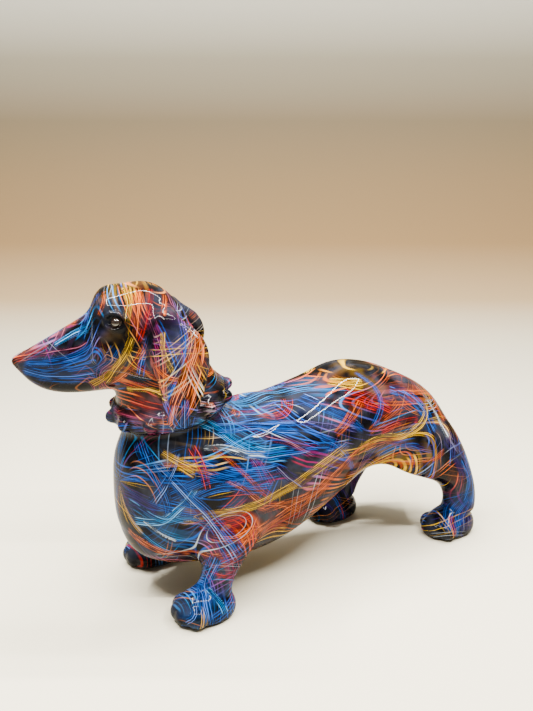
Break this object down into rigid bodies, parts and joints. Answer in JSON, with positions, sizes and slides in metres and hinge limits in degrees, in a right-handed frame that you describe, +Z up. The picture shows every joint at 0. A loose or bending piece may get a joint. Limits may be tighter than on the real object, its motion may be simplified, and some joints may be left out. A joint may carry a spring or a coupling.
{
  "type": "dog figurine",
  "caption": "Standing dachshund figurine in glossy glazed ceramic with a studded collar, hanging ears and an all-over light-trail print.",
  "frame": {"origin": "middle of the footprint's bounding box, on the surface that the figurine stands on", "axes": "+X towards the tail, the nose towards -X; +Y towards the dog's right side; +Z up"},
  "size_m": [0.1964, 0.0726, 0.1271],
  "materials": {
    "printed_glaze": "high-gloss clear glaze over a dark multicolour light-trail print",
    "stud_glaze": "high-gloss clear glaze, mostly black with coloured streaks",
    "eye_gloss": "polished black",
    "pad_felt": "matt black felt"
  },
  "bodies": {
    "root": {"torso_shell": "printed_glaze", "head_shell": "printed_glaze", "left_ear": "printed_glaze", "right_ear": "printed_glaze", "front_left_leg": "printed_glaze", "front_right_leg": "printed_glaze", "hind_left_leg": "printed_glaze", "hind_right_leg": "printed_glaze", "tail": "printed_glaze", "collar_band": "printed_glaze", "collar_studs": "stud_glaze", "left_eye": "eye_gloss", "right_eye": "eye_gloss", "front_left_paw_pad": "pad_felt", "front_right_paw_pad": "pad_felt", "hind_left_paw_pad": "pad_felt", "hind_right_paw_pad": "pad_felt"}
  },
  "joints": []
}
